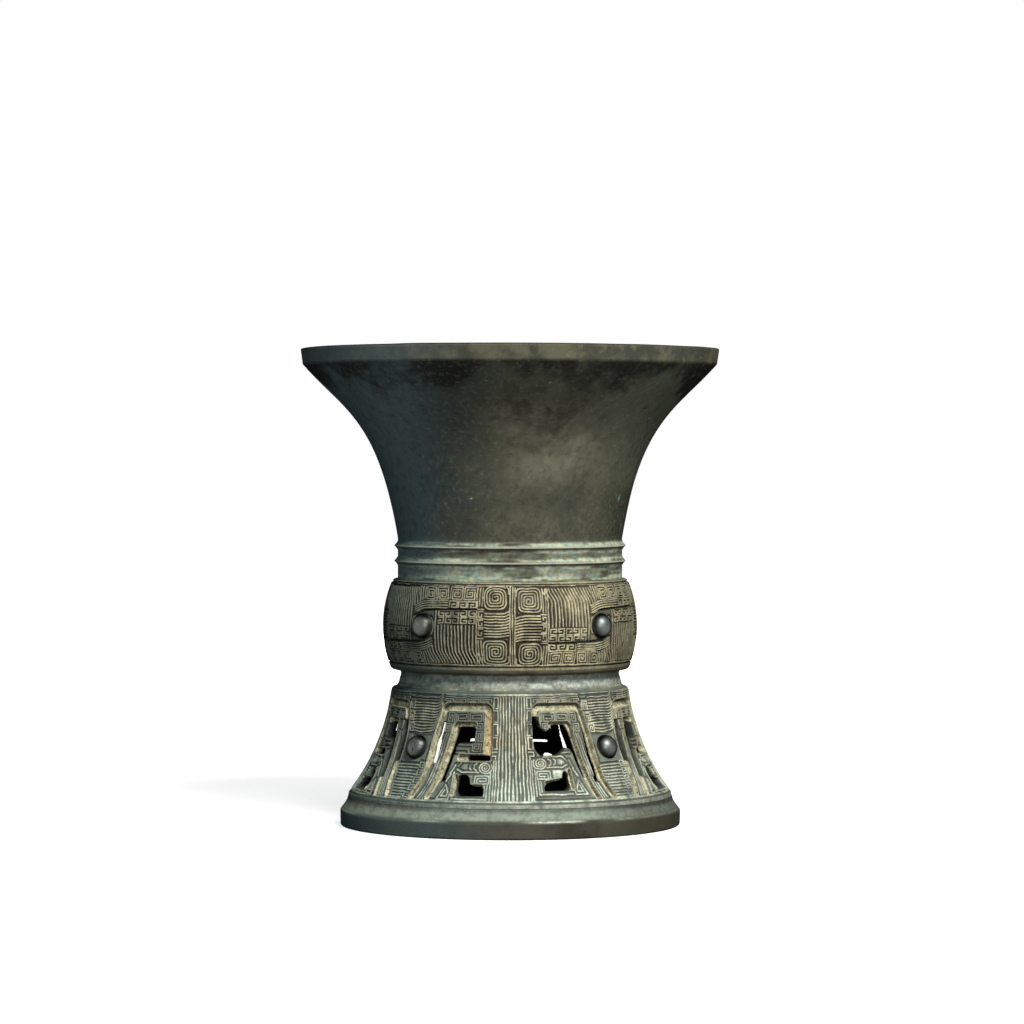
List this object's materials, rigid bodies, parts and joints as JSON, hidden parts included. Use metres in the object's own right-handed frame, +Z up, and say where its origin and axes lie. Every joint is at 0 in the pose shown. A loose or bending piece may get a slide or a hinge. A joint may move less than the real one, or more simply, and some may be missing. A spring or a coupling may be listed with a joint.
{
  "type": "gu vessel",
  "caption": "Squat bronze gu wine vessel: wide trumpet mouth, ridged neck, swelling belly band with eye bosses, and a pierced flaring mask foot on a stepped ring.",
  "frame": {"origin": "centre of the foot ring's underside, where the vessel's axis meets the table", "axes": "+Z up along the vessel's axis; the front mask faces -Y"},
  "size_m": [0.1446, 0.1446, 0.165],
  "materials": {
    "mouth_bronze": "dark olive-brown aged patina, satin",
    "belly_bronze": "brown-grey patina with pale earth in the grooves",
    "foot_bronze": "grey-green patina with ochre earth in the sunk channels",
    "ring_bronze": "brown-grey worn patina",
    "boss_bronze": "rubbed smooth, grey-brown",
    "inner_bronze": "dark crusted patina",
    "chaplet_bronze": "dark patina, greener than the wall"
  },
  "bodies": {
    "root": {"mouth_trumpet": "mouth_bronze", "mouth_chaplets": "chaplet_bronze", "belly_band": "belly_bronze", "vessel_floor": "inner_bronze", "floor_chaplets": "chaplet_bronze", "openwork_foot": "foot_bronze", "foot_ring": "ring_bronze", "belly_boss_front_left": "boss_bronze", "belly_boss_front_right": "boss_bronze", "belly_boss_back_left": "boss_bronze", "belly_boss_back_right": "boss_bronze", "foot_boss_front_left": "boss_bronze", "foot_boss_front_right": "boss_bronze", "foot_boss_back_left": "boss_bronze", "foot_boss_back_right": "boss_bronze"}
  },
  "joints": []
}
